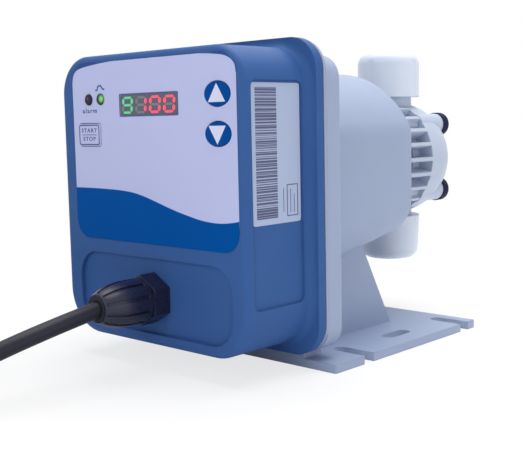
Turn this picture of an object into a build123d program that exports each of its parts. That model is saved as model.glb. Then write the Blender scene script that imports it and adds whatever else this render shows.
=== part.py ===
from build123d import *
import math
import os

# Diaphragm metering pump: solenoid-driven dosing pump with a keypad front, a grey rear casing on a
# slotted base plate and a white liquid end with a suction and a discharge valve.
# Frame: +Z up, keypad faces -Y, origin on the underside of the base plate at the centre of its slots.

# ---- overall stations (mm) ----
front_to_slots = 101.4        # keypad face to the centre of the slot pattern
cover_depth = 41.0            # keypad face to the cover's joint face
gasket_t = 0.8
flange_t = 9.6                # rear flange block behind its thin lip
lip_t = 1.4
casing_len = 72.5             # flange to the rear wall's outer face
axis_z = 79.4                 # stroke axis above the base
clear = 0.3                   # free gap round loose or moving pieces
fit_gap = 0.05                # radial running clearance
seat_gap = 0.2                # gap behind a sprung key's collar

# ---- front cover ----
cover_w = 110.0
cover_z0 = 10.2
cover_z1 = 129.0
cover_r_top = 16.0
cover_r_low = 19.0
cover_wall = 2.5
cover_edge_r = 3.0
rim_out = 3.7                 # rim beyond the body all round
rim_t = 4.6
rim_r = 13.0
rim_fillet = 3.2
side_panel_depth = 1.0
side_panel_z0 = 30.0
side_panel_z1 = 115.5
side_panel_y0 = 4.0           # from the keypad face
side_panel_y1 = 32.5
side_panel_r = 3.0

# ---- keypad ----
film_x0 = 8.5 - cover_w / 2
film_x1 = cover_w / 2 - 3.2
film_z0 = 52.0
film_z1 = 126.0
film_r = 8.0
film_t = 0.5
display_x0 = -14.6
display_x1 = 20.1
display_z0 = 103.7
display_z1 = 112.1
display_r = 1.0
window_t = 1.6
key_w = 13.3
key_h = 9.1
key_x = cover_w / 2 - 13.0
up_key_z = 110.8
down_key_z = 96.1
start_x = 19.7 - cover_w / 2
start_z = 96.0
start_w = 14.6
start_h = 9.3
start_r = 1.3
key_proud = 0.5
key_travel = 0.5
key_collar = 1.2
key_collar_t = 1.0
switch_w = 6.0
switch_h = 3.2
switch_stem_r = 1.7
switch_stem = 0.8
key_stem_r = 2.0
lamp_r = 2.4
lamp_pitch = 8.0
alarm_x = start_x
pulse_x = alarm_x + lamp_pitch
lamp_z = 110.7

# ---- cable entry ----
pocket_x0 = 9.5 - cover_w / 2
pocket_x1 = cover_w / 2 - 8.0
pocket_z0 = 15.2
pocket_z1 = 46.2
pocket_r = 11.0
pocket_depth = 1.8
gland_x = 1.3
gland_z = 30.0
gland_af = 18.0               # hexagon across flats
gland_hex_t = 8.0
gland_shank_r = 6.9
gland_shank_len = 12.0
gland_nut_r = 9.2
gland_nut_len = 21.5
gland_nut_tip_r = 5.6
gland_nut_straight = 7.0
gland_nut_mid_r = 8.0
gland_nut_mid = 16.0
gland_grooves = 10
gland_groove_w = 1.3
gland_groove_depth = 0.7
locknut_t = 4.0
locknut_af = 19.0
cord_r = 3.3

# ---- circuit board ----
board_y = 16.0                # front face of the board behind the keypad face
board_t = 1.6
board_w = cover_w - 18.0
board_z0 = 48.0
board_z1 = 122.0
board_post_r = 3.2
board_top_post_x = 28.0
transformer_size = (30.0, 18.0, 24.0)
terminal_size = (34.0, 10.0, 10.0)
terminal_count = 6
terminal_pitch = 5.4
terminal_hole_r = 1.6
capacitor_r = 6.0
capacitor_h = 18.0
relay_size = (20.0, 14.0, 15.0)
chip_size = (18.0, 2.4, 12.0)

# ---- rear casing ----
flange_half_w = cover_w / 2 + 2.8
flange_z0 = 7.4
flange_z1 = 126.0
flange_r = 9.5
casing_half_w = 43.0
arch_r = 47.7
arch_z = 74.3
arch_corner_r = 13.0
casing_wall = 3.0
rear_wall = 5.0
belly_rear_z = 46.0           # belly height at the rear wall
belly_slope = 11.0            # degrees
belly_r = 17.0
casing_edge_r = 1.2
plate_half_w = 62.7
plate_t = 3.6
plate_y1 = 148.3              # rear edge of the plate behind the keypad face
plate_corner_r = 0.8
slot_w = 6.5
slot_pitch = 75.0             # between the open slots of one side
slot_inner_x = 44.5
mid_slot_x = 50.0
mid_slot_len = 17.0
gusset_x = 33.0
gusset_t = 3.0
gusset_foot_y = 121.0
gusset_top_y = 99.0
foot_web_half_w = 46.0

# ---- cover screws ----
screw_x_low = cover_w / 2 - 9.0
screw_x_high = cover_w / 2 - 5.5
screw_z_low = cover_z0 + 9.0
screw_z_high = cover_z1 - 11.0
screw_r = 1.9
screw_head_r = 3.5
screw_head_t = 2.6
screw_boss_r = 4.4
screw_len = 16.0

# ---- solenoid ----
can_r = 30.0
can_wall = 3.0
can_len = 48.0
end_plate_t = 4.0
pole_r = 12.0
pole_len = 16.0
armature_len = 24.0
stroke = 1.25
rod_r = 3.0
rod_bury = 14.0               # rod inside the armature
bobbin_wall = 1.6
bobbin_flange_t = 2.0
spring_r = 6.6                # mean coil radius
spring_wire_r = 0.9
spring_turns = 4.0
spring_bore_r = 8.2
spring_pocket = 4.0
spring_free = 13.0
stop_plate_t = 3.0
bumper_r = 8.0
gap_air = 0.35                # armature to bobbin
pole_bush_len = 7.0
bush_wall = 2.0

# ---- liquid end ----
hub_len = 33.0                # spacer's hub, up to the diaphragm
rib_len = 39.4                # its ribs, which also surround the head's spigot
rib_count = 24
rib_t = 2.0
rib_r = 29.5
rib_hub_r = 20.5
rib_plate_t = 3.0
column_r = 3.3                # tubes round the head bolts
rod_bush_len = 10.0
diaphragm_t = 2.0
diaphragm_r = 19.0
diaphragm_core_r = 11.0
core_proud = 0.8
flex_r = 16.0
flex_depth = 3.0
head_len = 24.0               # rim to rear face
head_r = 29.0
spigot_r = 21.4
head_edge_r = 3.0
head_land = 7.0               # straight part of the head's rim
head_dome_r = 25.3            # radius of the dome's section
link_r = 2.2
link_z = 12.0                 # passages from the chamber to the valve bore
chamber_r = 17.0
chamber_depth = 3.4
valve_y = 167.3               # valve axis behind the keypad face
neck_r = 11.8
neck_reach = 44.0             # neck end above the stroke axis
suction_lift = 1.6            # the lower neck is this much shorter
bolt_half = 17.1              # half the side of the square of head bolts
bolt_r = 2.0
bolt_head_r = 3.5
bolt_head_t = 4.0
boss_r = 5.6
boss_sunk = 4.1               # boss end in front of the head's rear face
cap_r = 6.1
cap_len = 5.4
cap_wall = 1.6

# ---- valves ----
cartridge_r = 8.0
seat_t = 5.0
cage_len = 10.0
oring_t = 1.0
oring_wall = 2.0
throat_r = 2.5
port_r = 3.0
ball_r = 4.0
ball_gap = 0.3
ball_lift = 1.5
cage_bore_r = 5.3
seat_cone = 2.0
cage_hole_r = 1.3
cage_hole_at = 3.5
nut_r = 15.9
nut_len = 22.7
nut_end_z = neck_reach + 10.3  # nut's outer end above the stroke axis
nut_edge_r = 5.5
nut_taper = 0.8               # smaller radius at the suction nut's closed end
nut_flutes = 4
nut_flute_r = 9.0
nut_flute_depth = 0.4
nozzle_flange_t = 2.6
nozzle_flange_r = 10.8
nozzle_tail_r = 4.0
nozzle_bore_r = 3.0
nozzle_tail = 7.0
nut_hole_r = 6.4

# ---- derived stations, as Y values ----
y_front = -front_to_slots
y_joint = y_front + cover_depth
y_casing = y_joint + gasket_t
y_lip = y_casing + lip_t
y_flange = y_lip + flange_t
y_rear = y_flange + casing_len
y_wall = y_rear - rear_wall
y_valve = y_front + valve_y
y_head = y_rear + hub_len
y_rim = y_rear + rib_len
y_head_rear = y_rim + head_len
y_boss_rear = y_head_rear - boss_sunk
y_can = y_wall - can_len
y_pole = y_wall - end_plate_t - pole_len
y_arm_rear = y_pole - stroke - clear
y_arm_front = y_arm_rear - armature_len
rim_z0 = cover_z0 - rim_out
rim_z1 = cover_z1 + rim_out
bolt_points = [(sx * bolt_half, axis_z + sz * bolt_half) for sx in (-1, 1) for sz in (-1, 1)]
screw_places = [(screw_x_low, screw_z_low), (screw_x_high, screw_z_high)]
screw_points = [(sx * x, z) for sx in (-1, 1) for x, z in screw_places]


# ---- shape helpers ----
def facing(y, x=0.0, z=0.0):
    """Plane across the stroke axis, drawn with X to the right and Z up."""
    return Plane(origin=(x, y, z), x_dir=(1, 0, 0), z_dir=(0, -1, 0))


def prism(sketch, y0, y1):
    return extrude(facing(y1) * sketch, amount=y1 - y0)


def rod_y(r, y0, y1, x=0.0, z=axis_z):
    return extrude(facing(y1, x, z) * Circle(r), amount=y1 - y0)


def ring_y(r_out, r_in, y0, y1, x=0.0, z=axis_z):
    return extrude(facing(y1, x, z) * (Circle(r_out) - Circle(r_in)), amount=y1 - y0)


def rod_z(r, z0, z1, x=0.0, y=y_valve):
    return extrude(Plane((x, y, z0)) * Circle(r), amount=z1 - z0)


def ring_z(r_out, r_in, z0, z1, x=0.0, y=y_valve):
    return extrude(Plane((x, y, z0)) * (Circle(r_out) - Circle(r_in)), amount=z1 - z0)


def rounded(x0, x1, z0, z1, r_low, r_top):
    shape = Pos((x0 + x1) / 2, (z0 + z1) / 2) * Rectangle(x1 - x0, z1 - z0)
    shape = fillet(shape.vertices().group_by(Axis.Y)[-1], r_top)
    return fillet(shape.vertices().group_by(Axis.Y)[0], r_low)


def hexagon(across_flats):
    return RegularPolygon(across_flats / 2, 6, major_radius=False, rotation=30)


def edges_on_y(shape, y):
    return shape.edges().filter_by_position(Axis.Y, y - 0.01, y + 0.01)


# ---- housing ----
def cover_outline(inset):
    half = cover_w / 2 - inset
    return rounded(-half, half, cover_z0 + inset, cover_z1 - inset, cover_r_low - inset, cover_r_top - inset)


def key_outline(grow=0.0):
    return Ellipse(key_w / 2 + grow, key_h / 2 + grow)


def start_outline(grow=0.0):
    return RectangleRounded(start_w + 2 * grow, start_h + 2 * grow, start_r + grow)


def key_places():
    return [(key_outline, key_x, up_key_z), (key_outline, key_x, down_key_z), (start_outline, start_x, start_z)]


def front_cover():
    body = prism(cover_outline(0.0), y_front, y_joint)
    half = cover_w / 2 + rim_out
    y_ledge = y_joint - rim_t
    body += prism(rounded(-half, half, rim_z0, rim_z1, rim_r, rim_r), y_ledge, y_joint)
    ledge = body.faces().filter_by_position(Axis.Y, y_ledge - 0.01, y_ledge + 0.01)[0]
    waist = ledge.inner_wires()[0].edges()
    body = fillet(waist, rim_fillet)
    body = fillet(edges_on_y(body, y_front), cover_edge_r)
    body = fillet(edges_on_y(body, y_joint), 0.6)
    for side in (-1, 1):
        panel = Rectangle(side_panel_y1 - side_panel_y0, side_panel_z1 - side_panel_z0)
        panel = fillet(panel.vertices(), side_panel_r)
        middle_y = y_front + (side_panel_y0 + side_panel_y1) / 2
        spot = Plane(origin=(side * cover_w / 2, middle_y, (side_panel_z0 + side_panel_z1) / 2), z_dir=(side, 0, 0))
        turned = panel if abs(spot.x_dir.Y) > 0.5 else Rot(0, 0, 90) * panel
        body -= extrude(spot * turned, amount=-side_panel_depth)
    body -= prism(cover_outline(cover_wall), y_front + cover_wall, y_joint)
    # thickened wall behind the cable pocket
    backing = rounded(pocket_x0 - cover_wall, pocket_x1 + cover_wall, pocket_z0 - cover_wall, pocket_z1 + cover_wall, pocket_r, pocket_r)
    body += prism(backing & cover_outline(cover_wall), y_front + cover_wall, y_front + pocket_depth + cover_wall)
    body -= prism(rounded(pocket_x0, pocket_x1, pocket_z0, pocket_z1, pocket_r, pocket_r), y_front, y_front + pocket_depth)
    body -= rod_y(gland_shank_r + fit_gap, y_front, y_front + 20, gland_x, gland_z)
    # recess for the keypad film, window, lamps and keys
    body -= prism(rounded(film_x0, film_x1, film_z0, film_z1, film_r, film_r), y_front, y_front + film_t)
    window = rounded(display_x0, display_x1, display_z0, display_z1, display_r, display_r)
    body -= prism(window, y_front, y_front + cover_wall)
    for x in (alarm_x, pulse_x):
        body -= rod_y(lamp_r + fit_gap, y_front, y_front + cover_wall, x, lamp_z)
    for outline, x, z in key_places():
        body -= extrude(facing(y_front + cover_wall, x, z) * outline(clear), amount=cover_wall)
    # corner bosses for the cover screws and posts for the board
    for x, z in screw_points:
        body += rod_y(screw_boss_r, y_joint - screw_len - 2, y_joint, x, z) & prism(cover_outline(0.4), y_front, y_joint)
        body -= rod_y(screw_r, y_joint - screw_len, y_joint, x, z)
    for x, z in board_posts():
        body += rod_y(board_post_r, y_front + cover_wall, y_front + board_y, x, z)
    return body


def board_posts():
    inset = board_post_r + 1.0
    low = [(s * (board_w / 2 - inset), board_z0 + inset) for s in (-1, 1)]
    return low + [(s * board_top_post_x, board_z1 - inset) for s in (-1, 1)]


def keypad_film():
    film = prism(rounded(film_x0 + fit_gap, film_x1 - fit_gap, film_z0 + fit_gap, film_z1 - fit_gap, film_r, film_r), y_front, y_front + film_t)
    film -= prism(rounded(display_x0, display_x1, display_z0, display_z1, display_r, display_r), y_front, y_front + film_t)
    for x in (alarm_x, pulse_x):
        film -= rod_y(lamp_r + fit_gap, y_front, y_front + film_t, x, lamp_z)
    for outline, x, z in key_places():
        film -= extrude(facing(y_front + film_t, x, z) * outline(clear), amount=film_t)
    return film


def display_window():
    pane = rounded(display_x0, display_x1, display_z0, display_z1, display_r, display_r)
    return prism(pane, y_front + 0.2, y_front + 0.2 + window_t)


def display_module():
    back = y_front + board_y
    front = y_front + cover_wall + clear
    block = prism(rounded(display_x0 - 2, display_x1 + 2, display_z0 - 3, display_z1 + 3, 0.8, 0.8), front, back)
    return block


def lamp(x):
    dome = y_front - 0.6
    body = rod_y(lamp_r, dome, y_front + board_y, x, lamp_z)
    body = fillet(edges_on_y(body, dome), 0.5)
    collar = y_front + cover_wall + clear
    return body + rod_y(lamp_r + 0.5, collar, y_front + board_y, x, lamp_z)


def key_cap(outline, x, z):
    top = y_front - key_proud
    collar = y_front + cover_wall + seat_gap
    cap = extrude(facing(collar, x, z) * outline(), amount=collar - top)
    cap = fillet(edges_on_y(cap, top), 0.35)
    cap += extrude(facing(collar + key_collar_t, x, z) * outline(key_collar), amount=key_collar_t)
    return cap + rod_y(key_stem_r, collar, y_front + board_y - switch_len(), x, z)


def switch_len():
    return switch_h + switch_stem + key_travel + clear


def tactile_switches():
    solids = []
    for outline, x, z in key_places():
        back = y_front + board_y
        base = extrude(facing(back, x, z) * Rectangle(switch_w, switch_w), amount=switch_h)
        solids.append(base + rod_y(switch_stem_r, back - switch_h - switch_stem, back - switch_h, x, z))
    return Compound(solids)


def circuit_board():
    y0 = y_front + board_y
    half = board_w / 2
    board = prism(rounded(-half, half, board_z0, board_z1, 2.0, 2.0), y0, y0 + board_t)
    for x, z in board_posts():
        board -= rod_y(1.2, y0, y0 + board_t, x, z)
    return board


def board_box(size, x, z):
    """A component standing on the back of the board, its size given as width, height off the board, depth."""
    w, h, d = size
    return Pos(x, y_front + board_y + board_t + h / 2, z) * Box(w, h, d)


def board_components():
    y0 = y_front + board_y + board_t
    transformer = board_box(transformer_size, -board_w * 0.26, board_z0 + transformer_size[2] / 2 + 4 * board_t)
    terminal_x = board_w * 0.24
    terminal_z = board_z0 + terminal_size[2] / 2 + 2 * board_t
    terminals = board_box(terminal_size, terminal_x, terminal_z)
    for i in range(terminal_count):
        x = terminal_x + (i - (terminal_count - 1) / 2) * terminal_pitch
        terminals -= rod_y(terminal_hole_r, y0 + terminal_size[1] * 0.7, y0 + terminal_size[1], x, terminal_z)
    cap_z = terminal_z + terminal_size[2] / 2 + 2 * capacitor_r + board_t
    caps = [rod_y(capacitor_r, y0, y0 + capacitor_h, terminal_x + s * capacitor_r * 1.3, cap_z) for s in (-1, 1)]
    relay = board_box(relay_size, -board_w * 0.24, board_z1 - relay_size[2] / 2 - board_t * 9)
    chip = board_box(chip_size, terminal_x, board_z1 - chip_size[2] / 2 - board_t * 7)
    return Compound([transformer, terminals, relay, chip] + caps)


def gasket():
    half = cover_w / 2 + rim_out - 0.9
    outer = rounded(-half, half, rim_z0 + 0.9, rim_z1 - 0.9, rim_r - 0.9, rim_r - 0.9)
    ring = prism(outer - cover_outline(cover_wall), y_joint, y_casing)
    for x, z in screw_points:
        ring -= rod_y(screw_r + 0.2, y_joint, y_casing, x, z)
    return ring


def casing_profile(inset):
    half = casing_half_w - inset
    r = arch_r - inset
    z_spring = arch_z + math.sqrt(r * r - half * half)
    low = plate_t + inset
    walls = Polyline((half, z_spring), (half, low), (-half, low), (-half, z_spring))
    crown = ThreePointArc((-half, z_spring), (0, arch_z + r), (half, z_spring))
    outline = make_face(walls + crown)
    return fillet(outline.vertices().group_by(Axis.Y)[-1], arch_corner_r - inset)


def belly_z(y, inset=0.0):
    slope = math.tan(math.radians(belly_slope))
    return belly_rear_z - (y_rear - y) * slope + inset / math.cos(math.radians(belly_slope))


def casing_core(inset, y0, y1):
    """Arched body over a belly that rises to the rear, with rounded lower edges."""
    core = prism(casing_profile(inset), y0, y1)
    below = Polyline((y0 - 1, belly_z(y0 - 1, inset)), (y1 + 1, belly_z(y1 + 1, inset)), (y1 + 1, 0), (y0 - 1, 0), close=True)
    core -= extrude(Plane.YZ * make_face(below), amount=casing_half_w + 5, both=True)
    low = core.edges().filter_by(lambda e: e.length > 0.8 * (y1 - y0) and e.center().Z < belly_z(y1))
    return fillet(low, belly_r - inset)


def base_plate():
    y0 = y_casing
    y1 = y_front + plate_y1
    plate = Pos(0, (y0 + y1) / 2) * Rectangle(2 * plate_half_w, y1 - y0)
    plate = fillet(plate.vertices(), plate_corner_r)
    for side in (-1, 1):
        for y in (-slot_pitch / 2, slot_pitch / 2):
            centre = slot_inner_x + slot_w / 2
            reach = plate_half_w + 5 - centre
            plate -= Pos(side * centre, y) * Circle(slot_w / 2)
            plate -= Pos(side * (centre + reach / 2), y) * Rectangle(reach, slot_w)
        plate -= Pos(side * mid_slot_x, 0) * Rot(0, 0, 90) * SlotOverall(mid_slot_len, slot_w)
    return extrude(plate, amount=plate_t)


def gusset(side):
    foot = plate_t - 0.5
    sink = casing_wall * 0.8
    y0 = y_flange - 1
    foot_y = y_front + gusset_foot_y
    top_y = y_front + gusset_top_y
    web = Polyline((y0, foot), (foot_y, foot), (foot_y, plate_t), (top_y, belly_z(top_y) + sink), (y0, belly_z(y0) + sink), close=True)
    inner = side * (gusset_x - gusset_t) if side > 0 else side * gusset_x
    return extrude(Plane(origin=(inner, 0, 0), x_dir=(0, 1, 0), z_dir=(1, 0, 0)) * make_face(web), amount=gusset_t)


def rear_casing():
    lip_half = flange_half_w + 0.4
    body = prism(rounded(-lip_half, lip_half, rim_z0 + 0.6, rim_z1 - 0.6, rim_r - 0.6, rim_r - 0.6), y_casing, y_lip)
    block = rounded(-flange_half_w, flange_half_w, flange_z0, flange_z1, flange_r, flange_r)
    body += prism(block, y_lip, y_flange)
    body = fillet(edges_on_y(body, y_flange), casing_edge_r)
    shell = casing_core(0.0, y_flange - 1, y_rear)
    shell = fillet(edges_on_y(shell, y_rear), casing_edge_r)
    body += shell
    web = Pos(0, (y_casing + y_flange) / 2, (plate_t + flange_z0 + 8) / 2) * Box(2 * foot_web_half_w, y_flange - y_casing, flange_z0 + 8 - plate_t + 1)
    body += web
    body += base_plate()
    body += gusset(1) + gusset(-1)
    # open tray in the flange and the hollow behind it
    tray = rounded(3 - flange_half_w, flange_half_w - 3, flange_z0 + 3, flange_z1 - 3, flange_r - 3, flange_r - 3)
    body -= prism(tray, y_casing, y_flange - casing_wall)
    body -= casing_core(casing_wall, y_flange - casing_wall - 1, y_wall)
    for x, z in screw_points:
        body += rod_y(screw_boss_r, y_casing, y_flange - 1, x, z) & prism(block, y_casing, y_flange)
        body -= rod_y(screw_r + 0.2, y_casing, y_flange, x, z)
    body -= rod_y(rod_r + bush_wall, y_wall, y_rear)
    for x, z in bolt_points:
        body -= rod_y(bolt_r, y_wall, y_rear, x, z)
    return body


def cover_screws():
    solids = []
    for x, z in screw_points:
        shank = rod_y(screw_r - 0.05, y_joint - screw_len + 1, y_flange, x, z)
        head = rod_y(screw_head_r, y_flange, y_flange + screw_head_t, x, z)
        head -= prism(Pos(x, z) * RegularPolygon(1.5, 6), y_flange + 1.2, y_flange + screw_head_t)
        solids.append(shank + head)
    return Compound(solids)


# ---- cable entry ----
y_floor = y_front + pocket_depth
y_hex = y_floor - gland_hex_t
y_gland_tip = y_hex - gland_nut_len


def gland_body():
    hexa = extrude(facing(y_floor, gland_x, gland_z) * hexagon(gland_af), amount=gland_hex_t)
    body = hexa + rod_y(gland_shank_r, y_floor, y_floor + gland_shank_len, gland_x, gland_z)
    body += rod_y(gland_nut_r - 3.2, y_hex - 6, y_hex, gland_x, gland_z)
    return body - rod_y(cord_r + fit_gap, y_hex - 6, y_floor + gland_shank_len, gland_x, gland_z)


def gland_locknut():
    y0 = y_floor + cover_wall
    nut = extrude(facing(y0 + locknut_t, gland_x, gland_z) * hexagon(locknut_af), amount=locknut_t)
    return nut - rod_y(gland_shank_r + fit_gap, y0, y0 + locknut_t, gland_x, gland_z)


def gland_nut_side(inset=0.0):
    """Half section of the nut: a straight grip by the hexagon, then a dome that closes on the cord."""
    y0 = y_hex - 0.4
    straight = y0 - gland_nut_straight
    r0 = gland_nut_r - inset
    r1 = gland_nut_mid_r - inset
    r2 = gland_nut_tip_r - inset
    dome = Spline((r0, straight), (r1, y0 - gland_nut_mid), (r2, y_gland_tip), tangents=[(0, -1), (-0.75, -1)])
    return make_face(Polyline((0, y0), (r0, y0), (r0, straight)) + dome + Polyline((r2, y_gland_tip), (0, y_gland_tip), (0, y0)))


def gland_nut():
    """Domed nut with grooves that run from its grip to its mouth."""
    axis = Axis((gland_x, 0, gland_z), (0, 1, 0))
    spin = Plane(origin=(gland_x, 0, gland_z), x_dir=(1, 0, 0), z_dir=(0, 0, 1))
    y0 = y_hex - 0.4
    nut = revolve(spin * gland_nut_side(), axis)
    core = revolve(spin * gland_nut_side(gland_groove_depth), axis)
    skin = nut - core
    blade = Box(2 * gland_nut_r + 4, gland_nut_len - 3, gland_groove_w)
    for i in range(gland_grooves // 2):
        turned = Rot(0, 180 / (gland_grooves / 2) * (i + 0.5), 0) * blade
        nut -= Pos(gland_x, (y0 + y_gland_tip) / 2 - 0.5, gland_z) * turned & skin
    nut -= rod_y(gland_nut_r - 3.2 + fit_gap, y_hex - 6 - fit_gap, y0, gland_x, gland_z)
    return nut - rod_y(cord_r + 1.3, y_gland_tip, y0, gland_x, gland_z)


def gland_seal():
    return ring_y(cord_r + 1.3, cord_r, y_gland_tip, y_hex - 6.1, gland_x, gland_z)


cord_reach = 132.0            # keypad face to the cord's end on the coil
cord_points = [
    (gland_x, y_gland_tip, gland_z),
    (gland_x, y_front - cord_reach * 0.41, 25.5),
    (-8.0, y_front - cord_reach * 0.636, 15.0),
    (-22.0, y_front - cord_reach * 0.848, 7.5),
    (-45.5, y_front - cord_reach, 4.4),
]
coil_x = -74.0
coil_y = y_front - cord_reach * 0.72
coil_r = 39.6                 # middle of the turns
coil_columns = 3
coil_layers = 2
coil_leave = 228.0            # degrees round the coil where the cord leaves for the plug
plug_r = 19.0
plug_len = 30.0
plug_relief = 32.0
plug_relief_r = cord_r + 1.2
plug_x = coil_x - coil_r - coil_columns * cord_r - plug_relief_r - 0.1
plug_y = coil_y - 1.0
plug_pin_r = 2.4
plug_pin_len = 19.0
plug_pin_pitch = 19.0


def cord_path():
    points = [Vector(*p) for p in cord_points]
    radii = []
    for a, b, c in zip(points, points[1:], points[2:]):
        turn = math.radians((b - a).get_angle(c - b))
        radii.append(0.45 * min((b - a).length, (c - b).length) / math.tan(turn / 2))
    print("cord radii", [round(r, 1) for r in radii])
    return FilletPolyline(*cord_points, radius=radii)


def power_cord():
    path = cord_path()
    tube = sweep(Plane(origin=path @ 0, z_dir=path % 0) * Circle(cord_r), path=path)
    ideal = math.pi * cord_r ** 2 * path.length
    print("cord length", round(path.length, 1), "volume ratio", round(tube.volume / ideal, 4))
    # the straight length held in the gland
    return tube + rod_y(cord_r, y_gland_tip, y_floor + gland_shank_len + 4, gland_x, gland_z)


def cord_coil():
    section = RectangleRounded(2 * cord_r * coil_columns, 2 * cord_r * coil_layers, cord_r)
    spot = Plane(origin=(coil_x + coil_r, coil_y, cord_r * coil_layers), x_dir=(1, 0, 0), z_dir=(0, -1, 0))
    ring = revolve(spot * section, Axis((coil_x, coil_y, 0), (0, 0, 1)))
    # the last stretch climbs from the outer top turn into the plug's relief
    a = math.radians(coil_leave)
    r = coil_r + cord_r * (coil_columns - 1)
    z = cord_r * (2 * coil_layers - 1)
    start = (coil_x + r * math.cos(a), coil_y + r * math.sin(a), z)
    mouth = (plug_x, plug_y, plug_r)
    seat = (plug_x, plug_y + plug_relief * 0.7, plug_r)
    line = Spline(start, mouth, tangents=[(math.sin(a), -math.cos(a), 0.12), (0, 1, 0.1)])
    line += Line(mouth, seat)
    return ring + sweep(Plane(origin=line @ 0, z_dir=line % 0) * Circle(cord_r - 0.05), path=line)


def plug_body():
    """Moulded mains plug, lying beside the coil with its pins away from it."""
    x = plug_x
    y0 = plug_y
    y1 = y0 + plug_relief
    y2 = y1 + plug_len
    half = Polyline((0, y0), (plug_relief_r, y0), (plug_relief_r + 1.8, y1), (plug_r - 4.0, y1 + 2.0))
    half += Spline((plug_r - 4.0, y1 + 2.0), (plug_r, y1 + 12.0), tangents=[(1, 0.4), (0, 1)])
    half += Polyline((plug_r, y1 + 12.0), (plug_r, y2), (0, y2), (0, y0))
    spin = Plane(origin=(x, 0, plug_r), x_dir=(1, 0, 0), z_dir=(0, 0, 1))
    body = revolve(spin * make_face(half), Axis((x, 0, plug_r), (0, 1, 0)))
    return body - rod_y(cord_r, y0, y0 + plug_relief * 0.8, x, plug_r)


def plug_pins():
    y = plug_y + plug_relief + plug_len
    pins = [rod_y(plug_pin_r, y, y + plug_pin_len, plug_x + s * plug_pin_pitch / 2, plug_r) for s in (-1, 1)]
    return Compound([fillet(edges_on_y(p, y + plug_pin_len), 1.2) for p in pins])


# ---- drive ----
y_spring = y_arm_rear - spring_pocket
y_bobbin = y_can + 0.2


def solenoid_can():
    tube = ring_y(can_r, can_r - can_wall, y_can, y_wall)
    return tube + ring_y(can_r, pole_r + fit_gap, y_wall - end_plate_t, y_wall)


def fixed_pole():
    pole = rod_y(pole_r, y_pole, y_wall)
    pole -= rod_y(spring_bore_r, y_pole, y_spring + spring_free + stroke + clear)
    pole -= rod_y(rod_r + 0.4, y_pole, y_wall)
    return pole - rod_y(rod_r + bush_wall, y_wall - pole_bush_len, y_wall)


def pole_bushing():
    return ring_y(rod_r + bush_wall - fit_gap, rod_r + fit_gap, y_wall - pole_bush_len, y_wall)


def coil_bobbin():
    inner = pole_r + gap_air
    y1 = y_wall - end_plate_t - 0.2
    body = ring_y(inner + bobbin_wall, inner, y_bobbin, y1)
    for y in (y_bobbin, y1 - bobbin_flange_t):
        body += ring_y(can_r - can_wall - 0.4, inner, y, y + bobbin_flange_t)
    return body


def coil_winding():
    y1 = y_wall - end_plate_t - 0.2 - bobbin_flange_t
    return ring_y(can_r - can_wall - 1.6, pole_r + gap_air + bobbin_wall + fit_gap, y_bobbin + bobbin_flange_t, y1)


def stop_plate():
    plate = rod_y(can_r, y_can - stop_plate_t, y_can)
    for i in range(4):
        a = math.radians(45 + 90 * i)
        x = (can_r - 5) * math.cos(a)
        z = axis_z + (can_r - 5) * math.sin(a)
        plate -= rod_y(1.6, y_can - stop_plate_t, y_can, x, z)
    return plate


def stop_bumper():
    return rod_y(bumper_r, y_can, y_arm_front - clear)


def armature():
    body = rod_y(pole_r, y_arm_front, y_arm_rear)
    body = chamfer(edges_on_y(body, y_arm_front), 0.8)
    body -= rod_y(spring_bore_r, y_spring, y_arm_rear)
    return body - rod_y(rod_r, y_spring - rod_bury, y_spring)


def push_rod():
    return rod_y(rod_r, y_spring - rod_bury, y_head - core_proud)


def return_spring():
    height = spring_free - 2 * spring_wire_r
    wire = Helix(pitch=height / spring_turns, height=height, radius=spring_r)
    coil = sweep(Plane(origin=wire @ 0, z_dir=wire % 0) * Circle(spring_wire_r), path=wire, is_frenet=True)
    turned = Rot(-90, 0, 0) * coil
    return Pos(0, y_spring + spring_wire_r, axis_z) * turned


# ---- liquid end ----
def head_flange():
    """Spacer with radial ribs between the casing and the pump head."""
    body = rod_y(rib_hub_r, y_rear, y_head) + rod_y(rib_r, y_rear, y_rear + rib_plate_t)
    rib = Pos((rib_hub_r - 1 + rib_r) / 2, 0) * Rectangle(rib_r - rib_hub_r + 1, rib_t)
    star = Sketch() + [Rot(0, 0, 360 / rib_count * i) * rib for i in range(rib_count)]
    body += extrude(facing(y_rim, 0, axis_z) * star, amount=rib_len)
    for x, z in bolt_points:
        body += rod_y(column_r, y_rear, y_rim, x, z)
    # the head's spigot and its two necks stand between the rib ends
    body -= rod_y(spigot_r + clear, y_head, y_rim)
    necks = rod_z(neck_r + clear, axis_z - rib_r - 1, axis_z + rib_r + 1)
    body -= necks & rod_y(rib_r + 1, y_head, y_rim)
    body -= rod_y(flex_r, y_head - flex_depth, y_head)
    body -= rod_y(rod_r + bush_wall, y_rear, y_head)
    for x, z in bolt_points:
        body -= rod_y(bolt_r + fit_gap, y_rear, y_rim, x, z)
    return body


def rod_bushing():
    return ring_y(rod_r + bush_wall - fit_gap, rod_r + fit_gap, y_rear + 2, y_rear + 2 + rod_bush_len)


def diaphragm():
    ring = ring_y(diaphragm_r, diaphragm_core_r + clear, y_head, y_head + diaphragm_t)
    roll = diaphragm_core_r + (flex_r - diaphragm_core_r) / 2 + 0.5
    groove = Pos(roll, y_head - 0.1) * Circle(1.1)
    cutter = revolve(Plane(origin=(0, 0, axis_z), x_dir=(1, 0, 0), z_dir=(0, 0, 1)) * groove, Axis((0, 0, axis_z), (0, 1, 0)))
    return ring - cutter


def diaphragm_core():
    return rod_y(diaphragm_core_r, y_head - core_proud, y_head + diaphragm_t)


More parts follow.
